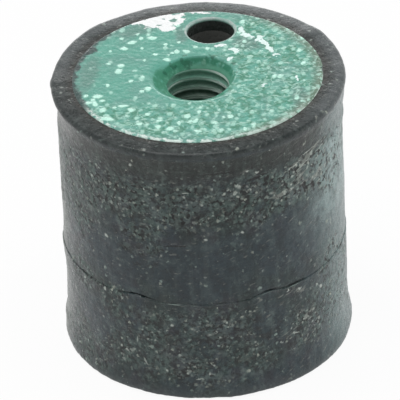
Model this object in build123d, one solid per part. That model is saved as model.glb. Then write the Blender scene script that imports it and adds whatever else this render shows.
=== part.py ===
"""Cylindrical rubber anti-vibration mount with a female thread in each end.

A moulded rubber body is bonded round two steel end fittings. Each fitting is a round plate with a threaded
bush pressed into its middle, flush with the plate's outer face. The top plate also has a plain locating hole
that runs on into the rubber. The rubber wraps round the edge of each plate, draws in between its two rims,
and steps in slightly where the two halves of its mould met.

Millimetres. The origin is the centre of the bottom face, +Z points up the axis, and +Y points at the
locating hole.
"""
from build123d import *
import os
from math import radians, tan

# Whole mount
overall_height = 40.0
rim_diameter = 40.0

# Rubber body
waist_depth = 0.55
rim_fall = 0.1
rim_corner_radius = 0.5
rim_land = 0.5
flare_height = 5.0
mould_line_height = 15.4
mould_step = 0.09
plate_stands_proud = 0.15

# End plates
plate_diameter = 34.2
plate_thickness = 2.0
plate_edge_chamfer = 0.3

# Threaded bushes, for an M10 x 1.5 thread, with the bore at its tapping diameter
bush_diameter = 15.0
bush_shoulder = 1.0
bush_end_wall = 1.5
bush_end_chamfer = 0.8
tapping_diameter = 8.5
thread_depth = 10.0
drill_point_angle = 118.0
countersink_diameter = 10.3
countersink_angle = 60.0

# Locating hole in the top plate and the rubber below it
locating_diameter = 6.5
locating_offset = 11.9
locating_depth = 8.0
locating_edge_break = 0.35

# What follows from the sizes above
rim_radius = rim_diameter / 2
upper_waist_radius = rim_radius - waist_depth
lower_waist_radius = upper_waist_radius + mould_step
plate_radius = plate_diameter / 2
bush_radius = bush_diameter / 2
neck_radius = bush_radius - bush_shoulder
tapping_radius = tapping_diameter / 2
countersink_radius = countersink_diameter / 2
countersink_depth = (countersink_radius - tapping_radius) / tan(radians(countersink_angle / 2))
drill_tip_depth = thread_depth + tapping_radius / tan(radians(drill_point_angle / 2))
bush_length = drill_tip_depth + bush_end_wall
locating_radius = locating_diameter / 2

# A fitting is drawn with its outer face at Z = 0 and its body below
BELOW_FACE = (Align.CENTER, Align.CENTER, Align.MAX)


def turned(points):
    """A solid turned from a closed half section, given as (radius, height) corners."""
    with BuildPart() as solid:
        with BuildSketch(Plane.XZ):
            with BuildLine():
                Polyline(*points, close=True)
            make_face()
        revolve(axis=Axis.Z)
    return solid.part


def plate_blank():
    """A plate before it is pierced: a disc with both edges chamfered."""
    disc = Cylinder(plate_radius, plate_thickness, align=BELOW_FACE)
    return chamfer(disc.edges().filter_by(GeomType.CIRCLE), plate_edge_chamfer)


def bush_blank():
    """A bush before it is drilled: a neck as long as the plate is thick, then a wider body."""
    return turned(
        [
            (0, 0),
            (neck_radius, 0),
            (neck_radius, -plate_thickness),
            (bush_radius, -plate_thickness),
            (bush_radius, -bush_length + bush_end_chamfer),
            (bush_radius - bush_end_chamfer, -bush_length),
            (0, -bush_length),
        ]
    )


def threaded_bush():
    """The bush with its countersink and its blind bore, down to the point left by the drill."""
    bore = turned(
        [
            (0, 0),
            (countersink_radius, 0),
            (tapping_radius, -countersink_depth),
            (tapping_radius, -thread_depth),
            (0, -drill_tip_depth),
        ]
    )
    return bush_blank() - bore


def plain_plate():
    """A plate pierced for the neck of its bush."""
    return plate_blank() - Cylinder(neck_radius, plate_thickness, align=BELOW_FACE)


def locating_hole():
    """The locating hole at its full depth, with its edge broken at 45 degrees where it opens."""
    hole = Cylinder(locating_radius, locating_depth, align=BELOW_FACE)
    mouth = Cone(locating_radius, locating_radius + locating_edge_break, locating_edge_break, align=BELOW_FACE)
    return Pos(0, locating_offset, 0) * (hole + mouth)


def rubber_outside():
    """The moulded outside, turned from a half section with the lower face first.

    The rims' faces fall slightly from the plate outwards, and their corners are rounded last.
    """
    low_face = plate_stands_proud
    high_face = overall_height - plate_stands_proud
    low_edge = low_face + rim_fall
    high_edge = high_face - rim_fall
    low_land = low_edge + rim_corner_radius + rim_land
    high_land = high_edge - rim_corner_radius - rim_land
    low_waist = low_land + flare_height
    high_waist = high_land - flare_height
    with BuildPart() as outside:
        with BuildSketch(Plane.XZ):
            with BuildLine():
                Polyline((0, low_face), (plate_radius, low_face), (rim_radius, low_edge))
                Line((rim_radius, low_edge), (rim_radius, low_land))
                TangentArc((lower_waist_radius, low_waist), (rim_radius, low_land), tangent=(0, -1))
                Line((lower_waist_radius, low_waist), (lower_waist_radius, mould_line_height))
                Line((lower_waist_radius, mould_line_height), (upper_waist_radius, mould_line_height))
                Line((upper_waist_radius, mould_line_height), (upper_waist_radius, high_waist))
                TangentArc((upper_waist_radius, high_waist), (rim_radius, high_land), tangent=(0, 1))
                Line((rim_radius, high_land), (rim_radius, high_edge))
                Polyline((rim_radius, high_edge), (plate_radius, high_face), (0, high_face))
                Line((0, high_face), (0, low_face))
            make_face()
            rim_points = vertices().group_by(Axis.X)[-1].sort_by(Axis.Y)
            fillet([rim_points[0], rim_points[-1]], rim_corner_radius)
        revolve(axis=Axis.Z)
    return outside.part


def at_top(fitting):
    """A shape of the top fitting, put in its place."""
    return Pos(0, 0, overall_height) * fitting


def at_bottom(fitting):
    """A shape of the bottom fitting, turned over about Y to face down."""
    return Rot(0, 180, 0) * fitting


def rubber_body():
    """The rubber, with a pocket that fits each fitting all over and the lower part of the locating hole."""
    fitting = plate_blank() + bush_blank()
    return rubber_outside() - at_top(fitting + locating_hole()) - at_bottom(fitting)


pieces = {
    "rubber_body": rubber_body(),
    "top_plate": at_top(plain_plate() - locating_hole()),
    "top_threaded_bush": at_top(threaded_bush()),
    "bottom_plate": at_bottom(plain_plate()),
    "bottom_threaded_bush": at_bottom(threaded_bush()),
}

os.makedirs("parts", exist_ok=True)
for name, piece in pieces.items():
    export_step(piece, f"parts/{name}.step")
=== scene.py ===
"""Rubber anti-vibration mount: scuffed moulded rubber round two painted steel fittings with threaded bushes.

Sizes in the classes are in millimetres in the part's own frame: the origin is the centre of the bottom face,
+Z is up the axis and +Y points at the locating hole. They become metres where a mesh or a light is made.
"""

import logging
import math
from collections.abc import Sequence
from dataclasses import dataclass
from enum import Enum
from functools import reduce
from typing import TypeVar

import bpy
import numpy as np
from mathutils import Matrix, Vector


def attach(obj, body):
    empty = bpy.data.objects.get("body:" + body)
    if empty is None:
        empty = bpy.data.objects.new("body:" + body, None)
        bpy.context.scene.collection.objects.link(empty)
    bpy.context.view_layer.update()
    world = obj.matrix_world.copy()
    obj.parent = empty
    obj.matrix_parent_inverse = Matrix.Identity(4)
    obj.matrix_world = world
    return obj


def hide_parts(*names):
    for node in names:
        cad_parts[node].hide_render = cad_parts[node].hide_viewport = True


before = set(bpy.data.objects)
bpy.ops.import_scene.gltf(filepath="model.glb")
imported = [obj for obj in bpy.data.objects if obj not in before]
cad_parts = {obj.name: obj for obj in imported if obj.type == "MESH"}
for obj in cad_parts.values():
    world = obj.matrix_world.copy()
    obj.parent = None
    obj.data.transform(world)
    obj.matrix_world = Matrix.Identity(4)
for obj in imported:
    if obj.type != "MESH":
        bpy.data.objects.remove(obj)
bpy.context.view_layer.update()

# A millimetre in metres, how near two vertices are joined, and how many millimetres a tool stands proud
MM = 0.001
WELD = 0.001 * MM
PAST = 1.0
JOINT_ATTRIBUTE = "joint_gap_and_lip"
Colour = tuple[float, float, float]
Limits = tuple[float, float]
Piece = bpy.types.Object
Socket = bpy.types.NodeSocket
Kind = TypeVar("Kind")
log = logging.getLogger("mount")


class End(Enum):
    """Which end of the mount a fitting sits in."""

    TOP = "top"
    BOTTOM = "bottom"


class Push(Enum):
    """Which way a relief moves the surface."""

    NORMAL = "NORMAL"
    UP = "Z"


@dataclass(frozen=True)
class Corner:
    """A corner of a half section, with the longest step that the way to it is divided into."""

    radius: float
    height: float
    step: float = 50.0


@dataclass(frozen=True)
class Relief:
    """A texture of lumps and hollows that is pressed into a surface."""

    size: float
    height: float
    depth: int = 2
    sharp: bool = False


@dataclass(frozen=True)
class Mark:
    """A mark on the top face, such as a worn spot, a patch of painted glare or a painted glint: its middle,
    its half sizes and its turn in degrees.
    """

    x: float
    y: float
    length: float
    width: float
    turn: float = 0.0


@dataclass(frozen=True)
class SideMark:
    """A mark on the rubber's side: its angle round the axis, its height, its half sizes and its slant."""

    angle: float
    height: float
    length: float
    width: float
    slant: float = 0.0


def each(kind: type[Kind], *rows: Sequence[float]) -> tuple[Kind, ...]:
    """Things of one kind, each given by its numbers in the order of the kind's fields."""
    return tuple(kind(*row) for row in rows)


def row_of_marks(
    angles: Sequence[float],
    height: float,
    length: float,
    width: float,
    drop: float = 0.9,
    less: float = 0.15,
) -> tuple[SideMark, ...]:
    """Marks in a row round the side, with every second one a little lower and shorter.

    Args:
        angles: the marks' angles.
        height: the row's height.
        length: half the length of a mark.
        width: half its width.
        drop: how much lower every second mark is.
        less: what share of its length every second mark lacks.

    Returns:
        The marks.
    """
    return tuple(
        SideMark(angle, height - drop * (i % 2), length * (1 - less * (i % 2)), width)
        for i, angle in enumerate(angles)
    )


@dataclass(frozen=True)
class Bulge:
    """A place where the moulding stands out or draws in: its angle, height, half sizes and reach."""

    angle: float
    height: float
    length: float
    width: float
    out: float


@dataclass(frozen=True)
class JointStretch:
    """A stretch of the mould's joint: its angle and spread in degrees, its gap (which also sets the painted
    shade in its crack), the paleness of its lip (painted highlight and dust) and its rise.
    """

    angle: float
    spread: float
    opened: float
    pale: float
    rise: float


def deselect_all() -> None:
    """Clear the selection, so that the next operator acts on its own piece alone."""
    bpy.ops.object.select_all(action="DESELECT")


def make_active(piece: Piece) -> None:
    """Select one piece alone and make it the active one.

    Args:
        piece: the object that the next operators act on.
    """
    deselect_all()
    piece.select_set(True)
    bpy.context.view_layer.objects.active = piece


def arc(centre: tuple[float, float], radius: float, start: float, end: float, count: int) -> list[Corner]:
    """Corners along an arc of a half section.

    Args:
        centre: radius and height of the arc's centre.
        radius: the arc's own radius.
        start: angle of its first corner in degrees, from the outward direction towards the top.
        end: angle of its last corner.
        count: number of steps.

    Returns:
        The corners, both ends among them.
    """
    turns = [math.radians(start + (end - start) * i / count) for i in range(count + 1)]
    return [Corner(centre[0] + radius * math.cos(t), centre[1] + radius * math.sin(t)) for t in turns]


def draw_section(name: str, corners: Sequence[Corner], centre: tuple[float, float] = (0.0, 0.0)) -> Piece:
    """Draw a half section by extruding one point along it.

    Args:
        name: the new object's name.
        corners: the section.
        centre: x and y of the axis.

    Returns:
        The object, a line of edges.
    """
    deselect_all()
    bpy.ops.mesh.primitive_plane_add(size=MM, location=(centre[0] * MM, centre[1] * MM, 0))
    piece = bpy.context.active_object
    piece.name = piece.data.name = name
    bpy.ops.object.mode_set(mode="EDIT")
    bpy.ops.mesh.select_mode(type="VERT")
    bpy.ops.mesh.select_all(action="SELECT")
    bpy.ops.mesh.merge(type="CENTER")
    places = [Vector((c.radius, 0.0, c.height)) * MM for c in corners]
    bpy.ops.transform.translate(value=places[0])
    for start, end, corner in zip(places, places[1:], corners[1:]):
        steps = max(1, round((end - start).length / (corner.step * MM)))
        for _ in range(steps):
            bpy.ops.mesh.extrude_region_move(TRANSFORM_OT_translate={"value": (end - start) / steps})
    bpy.ops.object.mode_set(mode="OBJECT")
    return piece


def turn_section(
    name: str, corners: Sequence[Corner], segments: int, centre: tuple[float, float] = (0.0, 0.0)
) -> Piece:
    """Turn a half section into a closed solid.

    Args:
        name: the new object's name.
        corners: the section, from axis to axis or ending where it began.
        segments: number of steps round the axis.
        centre: x and y of the axis.

    Returns:
        The solid.
    """
    piece = draw_section(name, corners, centre)
    sweep(piece, segments)
    bpy.ops.object.mode_set(mode="EDIT")
    bpy.ops.mesh.select_all(action="SELECT")
    bpy.ops.mesh.remove_doubles(threshold=WELD)
    bpy.ops.mesh.normals_make_consistent(inside=False)
    bpy.ops.object.mode_set(mode="OBJECT")
    bpy.ops.object.transform_apply(location=True, rotation=False, scale=False)
    return piece


def upside_down(corners: Sequence[Corner], height: float) -> list[Corner]:
    """A half section as the mount's other end has it."""
    return [Corner(c.radius, height - c.height, c.step) for c in corners]


def add_modifier(piece: Piece, kind: str) -> bpy.types.Modifier:
    """Make a piece the active one and give it a modifier.

    Args:
        piece: the piece.
        kind: the modifier's type.

    Returns:
        The modifier.
    """
    make_active(piece)
    bpy.ops.object.modifier_add(type=kind)
    return piece.modifiers[-1]


def sweep(piece: Piece, segments: int, rise: float = 0.0, turns: int = 1) -> None:
    """Sweep a section round the Z axis, with or without a rise, so that it makes a lathe or a screw form.

    Args:
        piece: the section, whose origin lies on the axis.
        segments: number of steps in a turn.
        rise: how far it rises in a turn.
        turns: number of turns.
    """
    modifier = add_modifier(piece, "SCREW")
    modifier.angle = math.tau
    modifier.screw_offset = rise * MM
    modifier.iterations = turns
    modifier.steps = modifier.render_steps = segments
    bpy.ops.object.modifier_apply(modifier=modifier.name)


def cut(piece: Piece, tool: Piece) -> None:
    """Cut a closed tool out of a piece and throw the tool away.

    Args:
        piece: the solid that is cut.
        tool: the solid that is taken out of it.
    """
    modifier = add_modifier(piece, "BOOLEAN")
    modifier.operation = "DIFFERENCE"
    modifier.solver = "EXACT"
    modifier.object = tool
    bpy.ops.object.modifier_apply(modifier=modifier.name)
    bpy.data.objects.remove(tool)


def places_of(piece: Piece) -> np.ndarray:
    """Where a piece's vertices are.

    Args:
        piece: the piece.

    Returns:
        Their places in millimetres, one row each.
    """
    flat = np.empty(len(piece.data.vertices) * 3)
    piece.data.vertices.foreach_get("co", flat)
    return flat.reshape(-1, 3) / MM


def smooth_step(values: np.ndarray, low: float, high: float) -> np.ndarray:
    """Numbers that go softly from 0 to 1 while the values go from low to high."""
    share = np.clip((values - low) / (high - low), 0.0, 1.0)
    return share * share * (3.0 - 2.0 * share)


def weigh(piece: Piece, name: str, weights: np.ndarray, least: float = 0.001) -> str:
    """Give a piece a vertex group.

    Args:
        piece: the piece.
        name: the group's name.
        weights: a weight for each vertex, from 0 to 1.
        least: the smallest weight that counts.

    Returns:
        The group's name.
    """
    group = piece.vertex_groups.new(name=name)
    for index in np.flatnonzero(weights > least):
        group.add([int(index)], float(weights[index]), "REPLACE")
    return group.name


def press(
    piece: Piece,
    name: str,
    weights: np.ndarray,
    form: float | Relief,
    push: Push = Push.NORMAL,
) -> None:
    """Move a surface by a weight for each vertex, evenly or in a relief.

    Args:
        piece: the piece to shape.
        name: what the change is, which names its vertex group.
        weights: how much of the change each vertex takes, from 0 to 1.
        form: how far a vertex of weight 1 moves, or the lumps and hollows to press in.
        push: which way the surface moves.
    """
    modifier = add_modifier(piece, "DISPLACE")
    modifier.direction = push.value
    modifier.vertex_group = weigh(piece, name, weights)
    if isinstance(form, Relief):
        texture = bpy.data.textures.new(name, type="CLOUDS")
        texture.noise_scale = form.size * MM
        texture.noise_depth = form.depth
        texture.noise_type = "HARD_NOISE" if form.sharp else "SOFT_NOISE"
        modifier.texture = texture
        modifier.texture_coords = "LOCAL"
        modifier.strength = form.height * MM
        modifier.mid_level = 0.5
    else:
        modifier.strength = form * MM
        modifier.mid_level = 0.0
    bpy.ops.object.modifier_apply(modifier=modifier.name)
    piece.vertex_groups.remove(piece.vertex_groups[name])


def finish_piece(
    piece: Piece, nodes: Sequence[str], material: bpy.types.Material, sharpest: float = 38.0
) -> None:
    """Dress a finished piece and put it in the frame.

    Args:
        piece: the finished mesh, with its place in its vertices.
        nodes: the CAD nodes that it stands for.
        material: its finish.
        sharpest: the bend in degrees up to which its shading is smooth.
    """
    piece.data.materials.clear()
    piece.data.materials.append(material)
    make_active(piece)
    bpy.ops.object.shade_smooth_by_angle(angle=math.radians(sharpest))
    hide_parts(*nodes)
    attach(piece, "root")
    log.info("%s: %d faces, stands for %s", piece.name, len(piece.data.polygons), ", ".join(nodes))


class Nodes:
    """A node tree, with short ways to add nodes, to feed their sockets and to reckon."""

    def __init__(self, tree: bpy.types.NodeTree) -> None:
        """Take over a tree and empty it."""
        self.tree = tree
        self.tree.nodes.clear()

    def feed(self, socket: Socket, value: object) -> None:
        """Link a socket, or set it where nothing is linked to it.

        Args:
            socket: the socket that takes the value.
            value: another node's socket, or a plain number, colour or vector.
        """
        if isinstance(value, Socket):
            self.tree.links.new(value, socket)
        elif isinstance(value, (tuple, list)) and len(value) == 3 and len(socket.default_value) == 4:
            socket.default_value = (*value, 1.0)
        else:
            socket.default_value = value

    def node(
        self, kind: str, inputs: dict[str | int, object] | None = None, **settings: object
    ) -> bpy.types.Node:
        """Add a node.

        Args:
            kind: its type.
            inputs: what its sockets take, by name or number.
            settings: its own settings.

        Returns:
            The node.
        """
        node = self.tree.nodes.new(kind)
        for name, value in settings.items():
            setattr(node, name, value)
        for key, value in (inputs or {}).items():
            self.feed(node.inputs[key], value)
        return node

    def math(self, operation: str, a: object, b: object = 0.0, c: object = 0.0) -> Socket:
        """One arithmetic step on two values, or on three where it multiplies and adds."""
        return self.node("ShaderNodeMath", {0: a, 1: b, 2: c}, operation=operation).outputs[0]

    def times(self, *values: object) -> Socket:
        """The product of some values."""
        return reduce(lambda a, b: self.math("MULTIPLY", a, b), values)

    def scaled(self, value: object, factor: object, added: object) -> Socket:
        """A value times a factor, with something added."""
        return self.math("MULTIPLY_ADD", value, factor, added)

    def most(self, *values: object) -> Socket:
        """The largest of some values."""
        return reduce(lambda a, b: self.math("MAXIMUM", a, b), values)

    def band(self, value: Socket, low: float, high: float, start: float = 0.0, end: float = 1.0) -> Socket:
        """Change softly from start to end while a value goes from low to high."""
        inputs = dict(enumerate((value, low, high, start, end)))
        return self.node("ShaderNodeMapRange", inputs, interpolation_type="SMOOTHSTEP").outputs[0]


class Recipe(Nodes):
    """A material's node tree, with a short method for each kind of pattern that the finishes use."""

    def __init__(self, name: str) -> None:
        """Start a material with a plain surface shader and coordinates in millimetres.

        Args:
            name: the material's name.
        """
        self.material = bpy.data.materials.new(name)
        self.material.use_nodes = True
        super().__init__(self.material.node_tree)
        self.output = self.node("ShaderNodeOutputMaterial")
        self.shader = self.node("ShaderNodeBsdfPrincipled")
        self.feed(self.output.inputs[0], self.shader.outputs[0])
        self.place = self.moved(self.node("ShaderNodeTexCoord").outputs["Object"], scale=(1 / MM,) * 3)
        self.colour: object = None

    def dress(self, **looks: object) -> None:
        """Feed the surface shader's sockets, which are named with underscores for spaces."""
        for name, value in looks.items():
            self.feed(self.shader.inputs[name.replace("_", " ")], value)

    def moved(
        self,
        vector: Socket,
        location: Sequence[float] = (0, 0, 0),
        turn: Sequence[float] = (0, 0, 0),
        scale: Sequence[float] = (1, 1, 1),
        into_frame: bool = False,
    ) -> Socket:
        """Move, turn and scale coordinates.

        Args:
            vector: the coordinates.
            location: the shift, or the frame's place.
            turn: rotation about X, Y and Z in degrees.
            scale: the scale of each axis.
            into_frame: True to read the place inside a frame with that location, turn and size.

        Returns:
            The changed coordinates.
        """
        turned = [math.radians(t) for t in turn]
        inputs = {"Vector": vector, "Location": location, "Rotation": turned, "Scale": scale}
        way = "TEXTURE" if into_frame else "POINT"
        return self.node("ShaderNodeMapping", inputs, vector_type=way).outputs[0]

    def noise(
        self,
        size: float,
        detail: float = 2.0,
        rough: float = 0.5,
        distortion: float = 0.0,
        at: Socket | None = None,
    ) -> Socket:
        """Smooth noise about 0.5 with lumps of a given size in millimetres."""
        look = {"Scale": 1.0 / size, "Detail": detail, "Roughness": rough, "Distortion": distortion}
        return self.node("ShaderNodeTexNoise", {"Vector": at or self.place, **look}).outputs["Fac"]

    def cells(self, size: float, at: Socket) -> tuple[Socket, ...]:
        """Scattered cells of a given size.

        Args:
            size: distance between cells in millimetres.
            at: coordinates.

        Returns:
            Distance from the nearest cell's middle in cell sizes, and three random numbers of each cell.
        """
        node = self.node("ShaderNodeTexVoronoi", {"Vector": at, "Scale": 1.0 / size})
        split = self.node("ShaderNodeSeparateColor", {0: node.outputs["Color"]}).outputs
        return node.outputs["Distance"], split[0], split[1], split[2]

    def specks(
        self,
        size: float,
        share: object,
        radius: float,
        at: Socket,
        core: float = 0.65,
        faintest: float = 0.35,
        uneven: float = 0.35,
    ) -> Socket:
        """Roundish specks of uneven size and brightness, of which only a share is there.

        Args:
            size: distance between the specks' places in millimetres.
            share: share of the places that have a speck, from 0 to 1.
            radius: radius of the largest specks, in distances between places.
            at: coordinates.
            core: share of the radius within which a speck has its full strength.
            faintest: strength of the faintest specks.
            uneven: share of the radius by which the smallest specks are smaller.

        Returns:
            The specks' strength, from 0 to 1.
        """
        away, chance, growth, tone = self.cells(size, at)
        away = self.scaled(growth, uneven * radius, away)
        speck = self.times(self.band(away, radius, core * radius), self.math("LESS_THAN", chance, share))
        return self.times(speck, self.scaled(self.times(tone, tone), 1 - faintest, faintest))

    def mix(self, share: object, a: object, b: object) -> Socket:
        """Mix two colours, with the second one for a share from 0 to 1."""
        return self.node("ShaderNodeMix", {0: share, 6: a, 7: b}, data_type="RGBA").outputs[2]

    def coat(self, share: object, colour: object) -> None:
        """Lay a colour over the recipe's own one, for a share from 0 to 1."""
        self.colour = self.mix(share, self.colour, colour)

    def axes(self) -> tuple[Socket, ...]:
        """The x, y and z of the place as three values."""
        return tuple(self.node("ShaderNodeSeparateXYZ", {0: self.place}).outputs)

    def distance(self, x: Socket, y: Socket) -> Socket:
        """Distance from the axis for a place given by x and y."""
        return self.math("SQRT", self.math("ADD", self.times(x, x), self.times(y, y)))

    def attribute(self, name: str) -> Socket:
        """A number that the piece's mesh keeps for each of its points."""
        return self.node("ShaderNodeAttribute", attribute_name=name).outputs["Fac"]

    def ragged(self, size: float, amount: float) -> Socket:
        """The place shifted about by noise, which makes the outline of what is drawn on it ragged.

        Args:
            size: size of the raggedness in millimetres.
            amount: how far the place shifts at most.

        Returns:
            The shifted place.
        """
        noise = self.node("ShaderNodeTexNoise", {"Vector": self.place, "Scale": 1.0 / size}).outputs["Color"]
        centred = self.node("ShaderNodeVectorMath", {0: noise, 1: (0.5, 0.5, 0.5)}, operation="SUBTRACT")
        inputs = {0: centred.outputs[0], 1: (4 * amount,) * 3, 2: self.place}
        return self.node("ShaderNodeVectorMath", inputs, operation="MULTIPLY_ADD").outputs[0]

    def spot(
        self, at: Socket, centre: Sequence[float], size: Sequence[float], turn: Sequence[float] = (0, 0, 0)
    ) -> Socket:
        """A soft spot that is 1 in its middle and 0 at its edge.

        Args:
            at: coordinates.
            centre: its middle in millimetres.
            size: half its size along its own x, y and z.
            turn: rotation about X, Y and Z in degrees.

        Returns:
            The spot's strength.
        """
        inside = self.moved(at, centre, turn, size, into_frame=True)
        return self.node("ShaderNodeTexGradient", {0: inside}, gradient_type="SPHERICAL").outputs["Fac"]

    def marks(self, at: Socket, marks: Sequence[Mark], face: float, deep: float = 4.0) -> Socket:
        """Marks on a level face, as one value that is 1 in their middles.

        Args:
            at: coordinates.
            marks: the marks.
            face: height of the face.
            deep: how far the marks reach above and below it.

        Returns:
            The strength of the strongest mark.
        """
        return self.most(
            *(self.spot(at, (m.x, m.y, face), (m.length, m.width, deep), (0, 0, m.turn)) for m in marks)
        )

    def side_marks(self, at: Socket, marks: Sequence[SideMark], radius: float) -> Socket:
        """Marks on a round side, as one value that is 1 in their middles.

        Args:
            at: coordinates.
            marks: the marks.
            radius: the side's radius.

        Returns:
            The strength of the strongest mark.
        """
        spots = []
        for m in marks:
            angle = math.radians(m.angle)
            centre = (radius * math.cos(angle), radius * math.sin(angle), m.height)
            deep = max(1.0, 0.6 * m.length)
            spots.append(self.spot(at, centre, (m.length, deep, m.width), (0, -m.slant, m.angle + 90)))
        return self.most(*spots)

    def bump(self, height: Socket, depth: float) -> None:
        """Press fine relief, given from 0 to 1 and with its depth in millimetres, into the shading."""
        bump = self.node("ShaderNodeBump", {"Strength": 1.0, "Distance": depth * MM, "Height": height})
        self.dress(Normal=bump.outputs[0])


@dataclass(frozen=True)
class RubberFinish:
    """Matt charcoal rubber with bluish films, pale crumbs and dark pits in clusters, and a few scratches,
    with painted sheen at its grazed sides and on its rim, painted shade under the rim, along the plate's
    edge, between crumbs and in the joint's crack, and painted light in the locating hole.
    """

    charcoal: Colour = (0.012, 0.025, 0.026)
    blue_film: Colour = (0.018, 0.034, 0.043)
    purple: Colour = (0.025, 0.029, 0.037)
    teal: Colour = (0.009, 0.031, 0.026)
    under_rim_brown_shade: Colour = (0.008, 0.014, 0.010)
    left_sheen_and_dust: Colour = (0.088, 0.108, 0.088)
    right_sheen_and_dust: Colour = (0.105, 0.155, 0.155)
    upper_right_sheen_and_dust: Colour = (0.25, 0.34, 0.335)
    rim_film: Colour = (0.009, 0.015, 0.014)
    rim_dust: Colour = (0.036, 0.046, 0.044)
    painted_edge_sheen: Colour = (0.086, 0.100, 0.103)
    rim_plate_edge_shadow: Colour = (0.020, 0.019, 0.014)
    hole_painted_light: Colour = (0.15, 0.155, 0.145)
    dust: Colour = (0.24, 0.31, 0.28)
    warm_dust: Colour = (0.34, 0.37, 0.315)
    pale: Colour = (0.52, 0.57, 0.52)
    cream: Colour = (0.22, 0.235, 0.21)
    pit_and_shade: Colour = (0.003, 0.004, 0.004)
    gloss: float = 0.42
    sheen: float = 0.2
    sheen_spread: float = 0.3
    relief_depth: float = 0.05
    side_radius: float = 19.5
    side_below: Limits = (39.0, 38.4)
    rim_above: Limits = (38.7, 39.5)
    hole_y: float = 11.9
    hole_edge: Limits = (3.4, 3.3)
    hole_above: Limits = (31.0, 31.5)
    clusters: tuple[SideMark, ...] = (
        *each(
            SideMark, (-138, 32, 7, 6.5), (-121, 32.5, 7.5, 6.5), (-103, 32, 7, 6.5), (-84, 32, 8, 6),
            (-62, 32, 8, 6.5), (-40, 31.6, 8.5, 5.5), (-20, 32, 8, 7), (-106, 25, 5, 5.5), (-146, 24, 6, 9),
            (-117, 10, 6.5, 7.5), (-100, 8.5, 8, 8.5), (-78, 8.5, 9, 8.5), (-60, 8, 4, 7),
            (-36, 8.5, 6.5, 4.5), (-14, 12, 8, 9), (-140, 15.2, 6, 2.5), (-140, 4.5, 9, 4.5),
            (-38, 8.8, 4, 3), (-172, 30, 12, 10), (52, 23, 5, 5), (116, 22, 6, 6),
        ),
        *row_of_marks((12, 37, 60, 83, 105, 128, 151), 32.0, 8.6, 6.3),
        *row_of_marks((8, 31, 57, 80, 103, 126, 148, 171), 9.0, 8.8, 7.4),
    )
    films: tuple[SideMark, ...] = (
        *each(
            SideMark, (-42, 22.5, 10, 6), (-143, 20, 6, 4), (-129, 9.5, 3.6, 5), (-84, 20.5, 11, 5.5),
            (-120, 20, 7, 4.5), (-53, 10.5, 3.6, 5), (0, 19, 7, 4),
        ),
        *row_of_marks((38, 66, 95, 138, 166), 20.5, 9.5, 5.0),
    )
    scuffs: tuple[SideMark, ...] = each(
        SideMark, (-39, 31.6, 3.6, 2, 24), (-33, 34.6, 4.4, 1, 14), (-47, 30.6, 3, 1.2, 12),
        (-28, 31, 3.2, 1.6, 20), (-35.5, 9.6, 2.2, 1.3, -14), (-55, 14.9, 2.8, 0.4, 4), (-44, 15, 3, 0.4, 5),
        (80, 30, 4, 1.6, 35), (70, 8, 3.5, 1.6, -20), (150, 29, 4, 1.6, 30),
    )
    heaps: tuple[SideMark, ...] = each(
        SideMark, (-126, 33, 3.6, 2.6, -20), (-116, 30.8, 3.2, 2.2, -30), (-104, 33.2, 3, 2.4, 0),
        (-88, 31.5, 3.4, 2, 10), (-66, 33, 3.6, 2.2, 0), (-44, 32, 4.6, 2.6, 30), (-30, 33.6, 3.4, 2.4, 30),
        (-137, 14.4, 3.4, 1.3, 10), (-116, 5.6, 3, 2.4, 0), (-104, 10, 3.2, 2.6, 0), (-86, 4.5, 4, 2.2, 0),
        (-78, 11.5, 3.6, 2.2, 0), (-38, 9.4, 2.8, 2, -10), (-32, 7.6, 3.4, 2.2, -10), (45, 24, 4, 3, 20),
        (120, 9, 4, 3, 0), (165, 27, 4, 3, -20),
    )
    scuff_angle: float = -38.0
    scuff_slant: float = 20.0
    scuff_grain: tuple[float, float, float] = (1.9, 1.0, 0.36)
    cracks: tuple[SideMark, ...] = each(
        SideMark, (-104.5, 27.4, 1.3, 0.4, 10), (-105.6, 26.2, 0.5, 1, 0), (-92, 24.9, 2.6, 0.13, 4),
        (-63, 32, 0.7, 2, 15), (-58, 34.6, 2.6, 0.35, 10), (-74, 36.4, 3.4, 0.16, 2),
        (-107.5, 33.6, 0.9, 0.3, 10), (100, 12, 2.4, 0.15, 12), (-41.3, 8.1, 0.9, 0.65, 0),
    )
    dashes: tuple[SideMark, ...] = each(
        SideMark, (-110.6, 8.6, 0.14, 0.75), (-107.1, 5.3, 0.95, 0.16, -58), (-115.9, 6.3, 0.42, 0.3),
        (-43, 7.7, 0.95, 0.2, -12), (-99, 27.6, 0.14, 0.6), (-87, 33.4, 0.7, 0.13, 4),
        (-40.5, 34.3, 2, 0.1, 17), (-31.5, 35.4, 2.4, 0.1, 10), (-18, 21.5, 0.16, 0.8),
        (-36, 33.7, 2.2, 0.09, 20), (-25, 34.6, 1.8, 0.1, 12), (-85, 3.4, 0.8, 0.13, 8),
        (58, 11, 0.8, 0.16, 30), (128, 28, 0.16, 0.9),
    )
    points: tuple[SideMark, ...] = each(
        SideMark, (-125.7, 15.1, 0.4, 0.34), (-123.3, 24, 0.4, 0.36), (-79.9, 25.9, 0.36, 0.3),
        (-65, 26.4, 0.36, 0.34), (-62, 36, 0.42, 0.3), (-58, 35.4, 0.4, 0.3), (-27.5, 12.6, 0.42, 0.4),
        (-40, 14.4, 0.36, 0.3), (-109, 37, 0.4, 0.4), (-95, 12, 0.4, 0.3),
    )

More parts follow.
